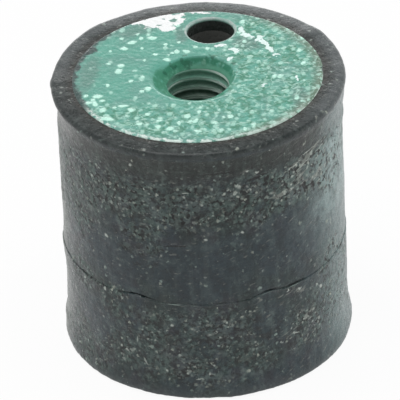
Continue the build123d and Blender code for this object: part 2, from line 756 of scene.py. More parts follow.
    def grazing_sheen_and_dust(self, r: Recipe, x: Socket, y: Socket, z: Socket) -> None:
        """Lay painted sheen, partly pale dust, at the left and right edges of the front view where the light
        grazes the sides, more of it up the right side, and a lighter painted band round the foot.

        Args:
            r: the recipe.
            x: the place's x in millimetres.
            y: its y.
            z: its z.
        """
        # Painted grazing sheen, partly dust, at the edges of the front view and up the right side
        grazing_sheen_and_dust = r.noise(5.0, 2.0, 0.5)
        left = r.scaled(grazing_sheen_and_dust, -5.0, r.distance(r.math("ADD", x, 19.0), r.math("ADD", y, 1.5)))
        right = r.scaled(grazing_sheen_and_dust, -5.0, r.distance(r.math("SUBTRACT", x, 20.0), r.math("ADD", y, 1.0)))
        left = r.times(r.band(left, 6.0, 0.0, 0.0, 0.68), r.band(z, 22.0, 32.0, 1.0, 0.55))
        r.coat(left, self.left_sheen_and_dust)
        right = r.times(r.band(right, 8.5, 0.0, 0.0, 0.95), r.band(y, 12.0, 5.0))
        r.coat(right, self.right_sheen_and_dust)
        upper_right = r.times(
            r.band(x, 12.5, 19.0),
            r.band(z, 20.0, 25.5, 0.08, 1.0),
            r.band(r.noise(1.9, 3.0, 0.6), 0.36, 0.56, 0.25, 1.0),
            r.band(y, -12.0, -5.0, 0.3, 0.85),
            r.band(y, 12.0, 3.0),
            r.band(z, 35.2, 33.4),
        )
        r.coat(upper_right, self.upper_right_sheen_and_dust)
        # A lighter band round the foot, painted sheen like that at the edges
        r.coat(r.band(z, 2.6, 0.5, 0.0, 0.45), self.painted_edge_sheen)

    def rim(self, r: Recipe, x: Socket, y: Socket, z: Socket) -> None:
        """Lay the colours of the rim's face: blotches of film and dust, painted shadow along the plate's
        edge, and painted sheen that pales it outwards, towards the back and at the right front.

        Args:
            r: the recipe.
            x: the place's x in millimetres.
            y: its y.
            z: its z.
        """
        on_rim = r.band(z, *self.rim_above)
        blotches = r.band(r.noise(1.6, 3.0, 0.6), 0.4, 0.68)
        rim_colour = r.mix(blotches, self.rim_film, self.rim_dust)
        outwards = r.scaled(r.noise(1.2, 3.0, 0.6), 1.6, r.distance(x, y))
        # Painted shadow of the plate's edge on the rim's inner part, then painted sheen on its outer corner
        rim_colour = r.mix(r.band(outwards, 18.9, 18.0, 0.0, 0.8), rim_colour, self.rim_plate_edge_shadow)
        rim_colour = r.mix(r.band(outwards, 19.2, 20.8, 0.0, 0.15), rim_colour, self.painted_edge_sheen)
        # Painted sheen, as from a light behind, over the rim's back and right front
        rim_sheen = r.times(r.band(x, 9.0, 17.0, 0.0, 0.85), r.band(y, -13.0, -5.0))
        rim_sheen = r.most(rim_sheen, r.band(y, -9.0, 8.0, 0.0, 0.9))
        rim_sheen = r.times(rim_sheen, r.band(outwards, 18.5, 19.8, 0.12, 1.0))
        rim_colour = r.mix(rim_sheen, rim_colour, self.painted_edge_sheen)
        r.coat(on_rim, rim_colour)

    def make(self) -> bpy.types.Material:
        """Build the material.

        Returns:
            The finished material.
        """
        r = Recipe("scuffed_rubber")
        x, y, z = r.axes()

        # Where crumbs crowd and where films keep them off
        ragged = r.ragged(3.0, 1.4)
        upright = r.band(z, *self.side_below)
        cluster = r.band(r.side_marks(ragged, self.clusters, self.side_radius), 0.04, 0.4)
        film = r.band(r.side_marks(ragged, self.films, self.side_radius), 0.08, 0.4)
        heap = r.band(r.side_marks(r.ragged(2.0, 1.0), self.heaps, self.side_radius), 0.05, 0.6)
        clumps = r.band(r.noise(1.8, 3.0, 0.7), 0.36, 0.6)
        clumps = r.most(clumps, r.times(heap, 0.8))
        crowd = r.times(r.scaled(cluster, 0.9, 0.1), r.scaled(clumps, 0.75, 0.3), r.scaled(film, -0.85, 1.0))
        crowd = r.times(crowd, r.band(z, 14.0, 16.5, 0.72, 1.0))
        below_rim = r.times(r.band(z, 33.6, 36.8), upright)
        crowd = r.times(crowd, r.scaled(below_rim, -0.7, 1.0), r.scaled(upright, 0.8, 0.2))
        crowd = r.most(crowd, r.times(heap, 0.88))

        # The dark ground with its films and its mottle, the painted shade under the rim, and painted sheen
        # at the sides and on the rim
        tint = r.noise(3.2, 2.0, 0.5, at=r.moved(r.place, location=(9, 3, 17)))
        r.colour = r.mix(r.band(r.noise(6.5, 2.0, 0.5), 0.42, 0.6), self.charcoal, self.blue_film)
        r.coat(r.band(tint, 0.5, 0.64, 0.0, 0.7), self.purple)
        r.coat(r.times(crowd, r.band(tint, 0.56, 0.42)), self.teal)
        r.coat(r.times(film, 0.7), self.blue_film)
        # Painted shade under the rim's overhang, laid over the brownish tone of the smooth rubber there
        r.coat(r.times(below_rim, 0.9), self.under_rim_brown_shade)
        mottle = r.noise(1.5, 3.0, 0.65, at=r.moved(r.place, location=(3, 41, 5)))
        mottled = r.scaled(cluster, 0.4, 0.3)
        # Dark mottle in the clusters, partly dark pits and partly painted shade between the crumbs
        r.coat(r.times(r.band(mottle, 0.52, 0.38), mottled), self.pit_and_shade)
        r.coat(r.times(r.band(mottle, 0.52, 0.68, 0.0, 0.3), mottled), self.dust)
        self.grazing_sheen_and_dust(r, x, y, z)
        self.rim(r, x, y, z)
        streaks = r.noise(0.9, 2.0, 0.5, at=r.moved(r.place, scale=(1, 1, 0.12)))
        streaks = r.times(r.band(streaks, 0.45, 0.75, 0.0, 0.1), upright)
        r.coat(streaks, self.dust)

        # The patterns of crumbs, pits, hairs and scuffs
        crumbled = r.ragged(0.4, 0.15)
        grain = r.noise(0.4, 3.0, 0.6)
        patch = r.band(r.scaled(crowd, 0.22, r.noise(0.8, 3.0, 0.65, 0.6)), 0.58, 0.74)
        pits = r.noise(0.65, 2.0, 0.5, at=r.moved(r.place, location=(31, 7, 3)))
        pits = r.times(r.band(pits, 0.5, 0.6), r.scaled(crowd, 0.9, 0.1))
        fine = r.specks(0.62, r.scaled(crowd, 0.9, 0.08), 0.5, crumbled, 0.45, 0.12)
        coarse = r.specks(1.0, r.scaled(crowd, 0.8, 0.05), 0.42, crumbled, 0.4, 0.18)
        bright = r.specks(1.5, r.scaled(crowd, 0.75, 0.18), 0.22, crumbled, 0.4)
        ridge = r.math("ABSOLUTE", r.math("SUBTRACT", r.noise(2.4, 1.0, 0.5, 1.2), 0.5))
        hairs = r.times(r.band(ridge, 0.012, 0.003), r.band(r.noise(1.7, 1.0), 0.5, 0.6))
        hairs = r.times(hairs, r.scaled(crowd, 0.8, 0.04))
        near = r.ragged(0.5, 0.14)
        dashes = r.band(r.side_marks(near, self.dashes, self.side_radius), 0.15, 0.5, 0.0, 0.85)
        points = r.band(r.side_marks(near, self.points, self.side_radius), 0.1, 0.6)
        turn = (0, -self.scuff_slant, self.scuff_angle + 90)
        along = r.moved(r.place, turn=turn, scale=self.scuff_grain, into_frame=True)
        scored = r.noise(1.0, 3.0, 0.6, at=along)
        scuffs = r.times(r.side_marks(ragged, self.scuffs, self.side_radius), 0.34)
        scuffs = r.band(r.math("ADD", scored, scuffs), 0.6, 0.76)
        scored_dark = r.times(r.band(scored, 0.46, 0.36), r.band(scuffs, 0.0, 0.2))
        cracks = r.band(r.side_marks(near, self.cracks, self.side_radius), 0.12, 0.5)

        # Their colours, then the joint's painted shade in its crack and painted highlight with dust on its
        # lip, and the hole's painted light
        r.coat(r.times(patch, 0.22), self.dust)
        r.coat(r.times(scuffs, 0.7), self.cream)
        r.coat(scored_dark, self.pit_and_shade)
        r.coat(r.most(pits, r.times(cracks, 0.9)), self.pit_and_shade)
        crumb = r.mix(r.band(r.noise(1.3, 2.0, 0.6), 0.44, 0.58), self.dust, self.warm_dust)
        crumb = r.mix(r.times(r.most(scuffs, heap), 0.75), crumb, self.pale)
        r.coat(r.most(fine, coarse), crumb)
        r.coat(r.times(hairs, 0.7), self.dust)
        r.coat(r.times(bright, 0.8), self.pale)
        r.coat(r.times(r.most(dashes, points), 0.75), self.pale)
        # Painted shade in the joint's crack, and painted highlight with dust on its lip
        joint = r.attribute(JOINT_ATTRIBUTE)
        r.coat(r.band(joint, 0.15, 0.8, 0.0, 0.75), self.pit_and_shade)
        pale_joint = r.times(r.band(joint, -0.15, -0.8), r.band(r.noise(0.8, 2.0), 0.35, 0.6, 0.1, 0.8))
        r.coat(pale_joint, self.dust)
        # Painted light in the locating hole, which lightens the rubber there against its shade
        in_hole = r.band(r.distance(x, r.math("SUBTRACT", y, self.hole_y)), *self.hole_edge)
        in_hole = r.times(in_hole, r.band(z, *self.hole_above))
        r.coat(in_hole, self.hole_painted_light)
        r.dress(Base_Color=r.colour)
        rough = r.band(grain, 0.3, 0.7, 0.25, 0.36)
        r.dress(Roughness=r.scaled(r.most(fine, coarse, patch), 0.25, rough))
        r.dress(Specular_IOR_Level=self.gloss, Sheen_Weight=self.sheen, Sheen_Roughness=self.sheen_spread)
        relief = r.scaled(r.most(fine, coarse), 0.9, grain)
        relief = r.math("SUBTRACT", relief, r.most(pits, cracks))
        relief = r.scaled(r.most(dashes, points, hairs, bright, scuffs), 0.6, relief)
        r.bump(relief, self.relief_depth)
        return r.material


@dataclass(frozen=True)
class PaintFinish:
    """Glossy green paint with pale flecks that are partly painted glints, bare patches white with painted
    glare, a pale broken edge that is partly chipped and partly a painted highlight, painted shade at the
    right edge, in the locating hole and in the countersink, and a thread darker with painted shade further
    down, lighter with painted light in its roots and with painted highlights on its crests.
    """

    face: float = 40.0
    green: Colour = (0.125, 0.395, 0.31)
    gap_green: Colour = (0.068, 0.265, 0.175)
    plate_edge_shadow_brown: Colour = (0.14, 0.19, 0.13)
    edge_blue: Colour = (0.145, 0.32, 0.275)
    greyer_green: Colour = (0.13, 0.22, 0.195)
    glint_fleck: Colour = (0.57, 0.93, 0.79)
    glare_and_bare: Colour = (0.93, 0.95, 0.95)
    glare_and_bare_green: Colour = (0.80, 0.97, 0.93)
    edge_chip_and_highlight: Colour = (0.70, 0.83, 0.77)
    deep_green: Colour = (0.028, 0.20, 0.115)
    mouth_green: Colour = (0.13, 0.37, 0.26)
    mouth_shade: Colour = (0.04, 0.215, 0.13)
    mouth_dark: Colour = (0.01, 0.10, 0.055)
    thread_green: Colour = (0.17, 0.38, 0.29)
    root_painted_light: Colour = (0.30, 0.54, 0.44)
    thread_dark: Colour = (0.13, 0.20, 0.16)
    rubber: Colour = (0.035, 0.055, 0.055)
    crest_highlight: Colour = (0.80, 0.93, 0.86)
    first_crest: float = 1.7
    pitch: float = 1.5
    mouth_edge: Limits = (6.3, 5.9)
    sink_from: Limits = (0.07, 0.4)
    mouth_from: Limits = (0.8, 1.25)
    thread_from: Limits = (1.5, 1.7)
    root_from: Limits = (4.45, 4.95)
    crest_out: Limits = (4.33, 4.28)
    crest_in: Limits = (4.05, 4.15)
    crest_width: Limits = (0.13, 0.05)
    hole_edge: Limits = (3.32, 3.24)
    hole_above: Limits = (39.75, 39.45)
    ring_in: Limits = (3.2, 3.3)
    ring_out: Limits = (3.66, 3.56)
    relief_depth: float = 0.07
    hole_dark: Colour = (0.03, 0.032, 0.03)
    ring_grey: Colour = (0.44, 0.53, 0.50)
    hole_y: float = 11.9
    glare_and_bare_patches: tuple[Mark, ...] = each(
        Mark, (-7.2, 13.7, 3.9, 2.6, 22), (-4.9, 14.3, 1.2, 2.3, 0), (-10, 13.3, 1.8, 0.7, 25),
        (-6.2, 12, 1.9, 1.3, -10), (-2.1, 16.5, 2.4, 0.42, -2), (4.25, 12.3, 0.5, 1.3, 8),
        (5.3, 10.9, 1.4, 0.5, -28), (7, 10.4, 1.2, 0.6, 62), (7.9, 9.1, 1.6, 0.5, -52),
        (9, 7.6, 1.2, 0.45, -50), (2, 8, 1.2, 0.55, 25), (4.2, 6.9, 1, 1, 0), (3.7, 4.7, 0.6, 0.9, -30),
        (10, 6.2, 0.6, 0.5, 0), (9.3, -1.7, 0.5, 0.8, -25), (13.5, 0.5, 0.36, 0.75, 8),
    )
    dark_bits: tuple[Mark, ...] = each(
        Mark, (-5.5, 14.1, 0.8, 0.8), (-6.9, 14.3, 0.5, 0.35), (-7.5, 12.6, 0.5, 0.3),
        (-4.6, 16.2, 0.8, 0.4, 20),
    )
    grey_patches: tuple[Mark, ...] = each(
        Mark, (-10.4, 11, 4.6, 2.4, 32), (5.4, 8.8, 3.4, 2.6, -30), (-3.8, 10.6, 1.4, 3.4, 10),
        (14.6, -4.5, 1.6, 5, 14), (-14.8, -1, 2, 7, 0),
    )
    rubber_smears: tuple[Mark, ...] = each(
        Mark, (-15.9, 4.9, 1.8, 1.1, 35), (-16.6, 0.6, 0.6, 1, 0), (3.4, 16.9, 1.4, 0.5, -10),
        (16.9, 3, 0.3, 1.6, 10),
    )
    mouth_spots: tuple[Mark, ...] = each(
        Mark, (-2.2, 4.1, 1.1, 0.4, 25), (-3.7, 2.9, 0.8, 0.35, 40), (-2.4, 5, 0.5, 0.35, 0),
        (4.5, 3.3, 0.6, 0.4, -35), (1.2, 5.1, 1.4, 0.22, -4), (-4.8, 1.2, 0.5, 0.25, 70),
        (5.3, 1.2, 0.4, 0.3, -70),
    )
    large_glints_and_flecks: tuple[Mark, ...] = each(
        Mark, (-15, 8.7, 0.75, 0.7), (-13.5, 10.4, 0.6, 1, 10), (-11.1, 6, 0.8, 0.65),
        (-10.3, 7.7, 0.95, 0.6, 35), (-9.2, 8.9, 0.5, 0.6), (-7.7, 9.1, 1, 0.7, 10), (-10.8, 1.5, 0.75, 0.7),
        (-10.9, 0, 0.75, 0.95), (-12.6, 1.9, 0.45, 0.5), (-8.7, 6.3, 0.4, 0.5), (-6.6, 4.9, 0.55, 0.45),
        (-4.8, 3.6, 0.8, 0.5, -20), (-7.4, -1.2, 0.5, 0.5), (-11.8, -3.7, 0.4, 0.65, 20),
        (-6.2, -4.1, 0.75, 0.7), (-6.9, -4.8, 0.5, 0.5), (-14.3, -6.7, 0.6, 0.6), (-12.7, -6.7, 1.1, 0.7, 8),
        (-12.7, -8.6, 0.65, 1, 25), (-11.4, -10.1, 0.8, 0.8), (-8.8, -8.8, 1, 0.55, 15),
        (-7.6, -9.7, 0.6, 0.9, 30), (-2.5, 6, 0.8, 0.6, -30), (-11.9, 8.6, 0.5, 0.4),
        (-12.9, 5.2, 0.35, 0.4), (-5.6, 7.6, 0.45, 0.5), (-3.9, 8.3, 0.4, 0.45), (-4.3, 5.4, 0.5, 0.35),
        (-1.4, 7.2, 0.5, 0.5), (0.3, 7, 0.45, 0.6), (-7.8, 3.2, 0.35, 0.4), (-13.6, -8.4, 0.7, 0.55, 30),
        (-13.2, -7.6, 0.5, 0.6), (-11.9, -7.7, 0.55, 0.45), (-9.9, -9.3, 0.5, 0.4), (-5.2, -10.6, 0.6, 0.5),
        (-3.4, -12.1, 0.7, 0.45, 20), (-5.9, -13.1, 0.7, 0.5, 10), (4.2, -11.9, 0.6, 0.5),
        (-0.6, -12.4, 0.45, 0.7, 15), (-10.4, -12.2, 1.5, 0.7, -8), (0.2, -10.6, 0.6, 0.9, -20),
        (1.5, -11.6, 0.5, 1, -22), (-1.6, -13.9, 0.9, 0.7, 30), (2.2, -14.2, 0.9, 0.5, 0),
        (6, -10.2, 0.6, 0.7, 0),
    )

    def locating_hole(self, r: Recipe, x: Socket, y: Socket, z: Socket, on_top: Socket) -> None:
        """Lay a worn ring round the locating hole, and darken the hole's wall, its dark steel with painted
        shade.

        Args:
            r: the recipe.
            x: the place's x in millimetres.
            y: its y.
            z: its z.
            on_top: 1 on the upper half of the mount.
        """
        from_hole = r.distance(x, r.math("SUBTRACT", y, self.hole_y))
        ragged_ring = r.noise(1.2, 2.0, 0.6)
        ring = r.times(r.band(from_hole, *self.ring_in), r.band(from_hole, *self.ring_out))
        ring = r.times(ring, r.band(ragged_ring, 0.35, 0.6, 0.5, 0.95), on_top)
        r.coat(ring, self.ring_grey)
        # Painted shade on the dark steel of the hole's wall
        in_hole = r.times(r.band(from_hole, *self.hole_edge), r.band(z, *self.hole_above), on_top)
        r.coat(in_hole, self.hole_dark)

    def thread(
        self,
        r: Recipe,
        x: Socket,
        y: Socket,
        from_axis: Socket,
        below: Socket,
        on_top: Socket,
        threaded: Socket,
    ) -> None:
        """Lay the thread's thinner paint, with painted light in its roots and painted shade further down,
        and painted highlights on its crests, brightest on the right and left.

        Args:
            r: the recipe.
            x: the place's x in millimetres.
            y: its y.
            from_axis: its distance from the axis.
            below: how deep it lies below the nearer end's face.
            on_top: 1 on the upper half of the mount.
            threaded: 1 where the thread is.
        """
        # Painted light in the thread's roots, and painted shade that darkens it further down
        cut_green = r.mix(r.band(from_axis, *self.root_from), self.thread_green, self.root_painted_light)
        r.coat(threaded, r.mix(r.band(below, 2.6, 5.4), cut_green, self.thread_dark))
        side = r.scaled(on_top, 2.0, -1.0)
        turned = r.math("DIVIDE", r.math("ARCTAN2", y, r.times(x, side)), math.tau)
        along = r.math("DIVIDE", r.math("SUBTRACT", below, self.first_crest), self.pitch)
        along = r.math("FRACT", r.math("ADD", r.math("ADD", along, turned), 0.25))
        off_crest = r.math("ABSOLUTE", r.math("SUBTRACT", along, 0.5))
        off_crest = r.math("SUBTRACT", off_crest, r.band(x, 0.5, 3.0, 0.0, 0.06))
        crest_highlight = r.times(r.band(from_axis, *self.crest_out), r.band(off_crest, *self.crest_width))
        crest_highlight = r.times(crest_highlight, r.band(from_axis, *self.crest_in), threaded)
        # Painted highlights on the crests, stronger on the right and the left
        worn = r.band(x, -0.5, 2.8, 0.32, 1.0)
        worn = r.most(worn, r.band(x, -1.8, -3.4, 0.0, 0.8))
        r.coat(r.times(crest_highlight, worn), self.crest_highlight)

    def make(self) -> bpy.types.Material:
        """Build the material.

        Returns:
            The finished material.
        """
        r = Recipe("green_paint")
        x, y, z = r.axes()
        ragged = r.ragged(0.9, 0.3)
        from_axis = r.distance(x, y)
        from_middle = r.math("SUBTRACT", z, self.face / 2)
        on_top = r.math("GREATER_THAN", from_middle, 0.0)
        below = r.math("SUBTRACT", self.face / 2, r.math("ABSOLUTE", from_middle))

        # Pale flecks and worms, painted glints on the paint's grains with some worn paint among them, which
        # crowd to the right and in front
        right = r.band(r.scaled(r.noise(4.0), 8.0, x), 3.5, 10.0)
        front = r.band(r.scaled(r.noise(3.4), -7.0, y), -9.5, -14.0)
        crowd = r.most(right, front)
        squiggled = r.moved(r.ragged(0.7, 0.14), scale=(1, 0.72, 1))
        ridge = r.math("ABSOLUTE", r.math("SUBTRACT", r.noise(1.3, 1.0, 0.5, 0.6), 0.5))
        glint_worms = r.times(r.band(ridge, 0.08, 0.015), r.band(r.noise(0.9, 1.0), 0.42, 0.58), crowd)
        fine = r.specks(0.92, r.scaled(crowd, 0.8, 0.05), 0.55, squiggled, 0.45, 0.45)
        back = r.band(r.scaled(r.noise(3.0), 6.0, y), 9.0, 14.0)
        many = r.most(r.times(front, 0.9), r.times(crowd, 0.5), r.times(back, 0.5))
        coarse = r.specks(1.25, r.scaled(many, 0.72, 0.15), 0.46, squiggled, 0.45, 0.6)
        large = r.band(r.marks(r.ragged(0.6, 0.12), self.large_glints_and_flecks, self.face), 0.12, 0.6)
        glints_and_flecks = r.most(r.times(glint_worms, 0.38), r.times(fine, 0.9), coarse, large)

        # The green with its bluish and greyer patches, the painted shadow at its right edge, and its bare
        # patches, white with painted glare
        tone = r.band(r.noise(1.1, 2.0, 0.6), 0.4, 0.62)
        deeper = r.times(tone, r.scaled(crowd, 0.9, 0.1))
        r.colour = r.mix(deeper, self.green, self.gap_green)
        r.coat(r.band(r.noise(4.5, 2.0, 0.6), 0.45, 0.7, 0.0, 0.5), self.edge_blue)
        # Greyer, darker patches on the face
        grey = r.band(r.marks(ragged, self.grey_patches, self.face), 0.1, 0.6)
        r.coat(r.times(grey, 0.6), self.greyer_green)
        r.coat(r.band(from_axis, 15.2, 16.8, 0.0, 0.6), self.edge_blue)
        # Painted shadow, brownish, along the right part of the plate's edge where it meets the rubber
        edge_shadow = r.times(r.band(from_axis, 15.0, 16.9, 0.0, 0.8), r.band(x, 3.0, 10.0))
        r.coat(edge_shadow, self.plate_edge_shadow_brown)
        r.coat(glints_and_flecks, self.glint_fleck)
        # Bare patches, white with painted glare
        glare_and_bare = r.scaled(r.noise(0.7, 2.0, 0.6), 0.9, r.marks(ragged, self.glare_and_bare_patches, self.face))
        glare_and_bare = r.band(glare_and_bare, 0.66, 0.82)
        bits = r.band(r.marks(ragged, self.dark_bits, self.face), 0.2, 0.5)
        glare_and_bare = r.times(glare_and_bare, r.math("SUBTRACT", 1.0, bits))
        r.coat(r.times(bits, 0.6), self.greyer_green)
        r.coat(glare_and_bare, r.mix(r.band(x, 0.0, 4.0), self.glare_and_bare, self.glare_and_bare_green))

        # The pale broken edge, partly chipped paint and partly a painted highlight on the plate's front
        # edge, and the rubber on it
        rim = r.scaled(r.noise(0.7, 3.0, 0.7), 1.6, from_axis)
        broken = r.band(r.noise(1.1, 2.0, 0.6), 0.38, 0.52)
        front_edge = r.times(r.band(y, -5.0, -8.5), r.band(x, 7.0, 12.0, 1.0, 0.45))
        thin_edge = r.times(r.band(from_axis, 16.88, 17.02), r.band(x, 4.0, 14.0, 0.4, 0.7))
        thin_edge = r.times(thin_edge, r.times(r.band(y, 6.0, -2.0), broken))
        chipped_and_lit_edge = r.times(r.band(rim, 17.15, 17.5), r.times(front_edge, broken))
        chipped_and_lit_edge = r.times(r.most(chipped_and_lit_edge, thin_edge), r.band(x, -16.0, -13.0))
        r.coat(chipped_and_lit_edge, self.edge_chip_and_highlight)
        lap = r.scaled(r.noise(1.3, 3.0, 0.6), 2.0, from_axis)
        lap = r.times(r.band(lap, 17.15, 17.65), r.band(x, -12.0, -14.5, 0.0, 0.9))
        r.coat(r.times(lap, on_top), self.rubber)
        smear = r.band(r.marks(ragged, self.rubber_smears, self.face), 0.1, 0.4)
        r.coat(r.times(smear, 0.9), self.rubber)
        self.locating_hole(r, x, y, z, on_top)

        # The countersink, darker with painted shade, most on its left wall, and with dark spots
        within = r.band(from_axis, *self.mouth_edge)
        sunk = r.times(r.band(below, *self.sink_from), within)
        patchy = r.noise(0.9, 2.0, 0.6, at=r.moved(r.place, location=(5, 9, 2)))
        # Painted shade, deep green, over the countersink
        sunk_green = r.mix(r.band(patchy, 0.46, 0.7, 0.0, 0.8), self.deep_green, self.green)
        sunk_green = r.mix(r.times(glints_and_flecks, 0.25), sunk_green, self.glint_fleck)
        r.coat(r.times(sunk, 0.9), sunk_green)
        mouth = r.times(r.band(below, *self.mouth_from), within)
        r.coat(r.times(mouth, 0.8), self.mouth_green)
        # Painted shade on the countersink's left wall
        shaded_left_wall = r.noise(0.45, 3.0, 0.6, at=r.moved(r.place, scale=(1, 1, 0.35)))
        shaded_left_wall = r.times(r.band(shaded_left_wall, 0.34, 0.54), r.band(x, -0.8, -3.0, 0.1, 0.85))
        r.coat(r.times(shaded_left_wall, sunk), self.mouth_shade)
        spots = r.band(r.marks(ragged, self.mouth_spots, self.face), 0.1, 0.5)
        r.coat(r.times(spots, 0.65, on_top), self.mouth_dark)
        threaded = r.times(r.band(below, *self.thread_from), within)
        self.thread(r, x, y, from_axis, below, on_top, threaded)
        r.dress(Base_Color=r.colour)

        rough = r.band(r.noise(0.8), 0.3, 0.7, 0.2, 0.36)
        rough = r.scaled(r.math("SUBTRACT", sunk, threaded), 0.4, rough)
        r.dress(Roughness=r.scaled(r.most(glare_and_bare, chipped_and_lit_edge), 0.3, rough))
        relief = r.scaled(glints_and_flecks, 0.8, r.noise(0.55, 2.0, 0.5))
        relief = r.math("SUBTRACT", relief, r.most(glare_and_bare, chipped_and_lit_edge))
        r.bump(relief, self.relief_depth)
        return r.material


@dataclass(frozen=True)
class FloorFinish:
    """A plain white floor that keeps a faint shadow."""

    white: Colour = (0.9, 0.9, 0.9)
    seen_share: float = 0.94
    roughness: float = 0.9

    def make(self) -> bpy.types.Material:
        """Build the material.

        Returns:
            The finished material.
        """
        r = Recipe("white_floor")
        r.dress(Base_Color=self.white, Roughness=self.roughness, Specular_IOR_Level=0.0)
        glow = r.node("ShaderNodeEmission", {"Strength": 1.0})
        path = r.node("ShaderNodeLightPath").outputs
        seen = r.most(path["Is Camera Ray"], path["Is Glossy Ray"], path["Is Transmission Ray"])
        blend = {0: r.times(seen, self.seen_share), 1: r.shader.outputs[0], 2: glow.outputs[0]}
        r.feed(r.output.inputs[0], r.node("ShaderNodeMixShader", blend).outputs[0])
        return r.material


@dataclass
class RubberBody:
    """The moulded rubber: two crowned rims round the plates, a waist, and a ledge at the mould's joint."""

    material: bpy.types.Material
    height: float = 40.0
    rim_radius: float = 20.0
    plate_proud: float = 0.15
    plate_radius: float = 17.1
    plate_thickness: float = 2.0
    plate_chamfer: float = 0.3
    rim_fall: float = 0.1
    rim_corner: float = 0.5
    rim_land: float = 0.4
    flare: float = 5.0
    upper_waist: float = 19.45
    lower_waist: float = 19.54
    ledge_height: float = 15.4
    bush_radius: float = 7.5
    bush_length: float = 14.05
    bush_chamfer: float = 0.8
    hole_radius: float = 3.25
    hole_offset: float = 11.9
    hole_depth: float = 8.0
    segments: int = 456
    fine: float = 0.27
    hole_segments: int = 64
    joint_reach: float = 2.2
    crack_height: float = 0.06
    crack_width: float = 0.1
    crack_depth: float = 0.1
    lip_height: float = -0.16
    lip_rise: float = 0.05
    least_opened: float = 0.12
    least_pale: float = 0.1
    least_rise: float = 0.1
    joint_span: float = 0.5
    gap_below: Limits = (0.14, 0.05)
    gap_above: Limits = (0.03, 0.12)
    gap_steps: Limits = (0.12, 0.13)
    gap_lean: float = 0.01
    rim_swell: float = 0.1
    side_from: Limits = (17.4, 18.2)
    bulge_from: Limits = (18.9, 19.7)
    swell_from: Limits = (18.8, 19.6)
    swell_above: Limits = (38.6, 39.4)
    smooth_above: Limits = (38.9, 39.5)
    smoothness: float = 0.75
    unevenness: Relief = Relief(6.0, 0.22)
    lumps: Relief = Relief(1.6, 0.09)
    grain: Relief = Relief(0.6, 0.09, sharp=True)
    joint_gap_and_lip: tuple[JointStretch, ...] = each(
        JointStretch, (-110, 7, 0.9, 0.2, 0.55), (-139, 3, 0.7, 0.5, 0), (-92, 8, 0.1, 0.9, 0.1),
        (-75, 3, 0.5, 0.4, 0), (-55, 6, 0.8, 0.5, 0.6), (-42, 5, 0.8, 0.7, 0.1), (35, 14, 0.9, 0.4, 0.3),
        (95, 9, 0.8, 0.7, 0.5), (160, 12, 0.9, 0.3, 0.2),
    )
    bulges: tuple[Bulge, ...] = each(
        Bulge, (154, 39.6, 4.5, 1.6, 0.13), (143, 39.6, 4, 1.6, 0.17), (42.2, 39.4, 1.9, 1.3, 0.2),
        (33.5, 39.4, 2.8, 1.4, 0.15), (-172.5, 39.1, 1.4, 0.8, 0.2), (-167, 36.9, 6.5, 2.1, -0.46),
        (-163, 38.2, 4.5, 0.7, -0.2), (10, 33.7, 2.5, 0.8, 0.3), (10, 36.6, 2.5, 1.2, 0.22),
        (10, 5, 7, 4, -0.19), (-170, 2.9, 3, 1, 0.26), (-170, 9.5, 5, 2.6, -0.14),
        (-170, 15.4, 3, 1.8, 0.17), (-35, 0.6, 9, 1.2, 0.14), (80, 20, 14, 6, 0.12),
    )

    def rim(self) -> list[Corner]:
        """The top rim's half section, from the plate's edge down to the end of the flare.

        Returns:
            The corners, top first.
        """
        face = self.height - self.plate_proud
        inner = self.plate_radius - self.plate_proud
        fall = math.degrees(math.atan2(self.rim_fall, self.rim_radius - self.rim_corner - inner))
        corner_height = face - self.rim_fall - self.rim_corner
        bend = arc((self.rim_radius - self.rim_corner, corner_height), self.rim_corner, 90 - fall, 0, 5)
        return [Corner(inner, face), Corner(bend[0].radius, bend[0].height, 0.3), *bend[1:]]

    def flare_points(self, waist: float, low_end: float) -> list[Corner]:
        """The flare from a rim's land down to the waist, as an arc that meets the waist tangentially.

        Args:
            waist: the waist's radius.
            low_end: height of the land's lower end.

        Returns:
            The corners, rim first.
        """
        spread = self.rim_radius - waist
        radius = (self.flare**2 + spread**2) / (2 * spread)
        sweep = math.degrees(math.asin(self.flare / radius))
        steps = round(self.flare / self.fine)
        return arc((waist + radius, low_end - self.flare), radius, 180 - sweep, 180, steps)

    def half(self, waist: float) -> list[Corner]:
        """One half of the outside, from the plate's edge to the waist, drawn for the top end.

        Args:
            waist: the waist's radius on this half.

        Returns:
            The corners, rim first.
        """
        rim = self.rim()
        land_end = rim[-1].height - self.rim_land
        return [*rim, Corner(self.rim_radius, land_end, self.fine), *self.flare_points(waist, land_end)[1:]]

    def pocket(self) -> list[Corner]:
        """The pocket for a fitting, drawn for the top end, from the axis to the plate's edge.

        Returns:
            The corners, axis first.
        """
        top, seat = self.height, self.height - self.plate_thickness
        end = top - self.bush_length
        edge, chamfer = self.plate_radius, self.plate_chamfer
        return [
            Corner(0, end),
            Corner(self.bush_radius - self.bush_chamfer, end),
            Corner(self.bush_radius, end + self.bush_chamfer),
            Corner(self.bush_radius, seat),
            Corner(edge - chamfer, seat),
            Corner(edge, seat + chamfer),
            Corner(edge, top - chamfer),
        ]

    def section(self) -> list[Corner]:
        """The whole half section, from the bottom pocket's end on the axis to the top one's.

        Returns:
            The corners, bottom first.
        """
        low = upside_down(self.pocket() + self.half(self.lower_waist), self.height)
        high = self.pocket() + self.half(self.upper_waist)
        ledge, upper, lower = self.ledge_height, self.upper_waist, self.lower_waist
        joint = [
            Corner(lower, ledge - self.joint_span, self.fine),
            Corner(lower, ledge - self.gap_below[0], self.gap_steps[0]),
            Corner(lower - self.gap_lean, ledge - self.gap_below[1]),
            Corner(upper, ledge + self.gap_above[0]),
            Corner(upper, ledge + self.gap_above[1]),
            Corner(upper, ledge + self.joint_span, self.gap_steps[1]),
        ]
        high_waist = Corner(high[-1].radius, high[-1].height, self.fine)
        return low + joint + [high_waist] + high[-2::-1]

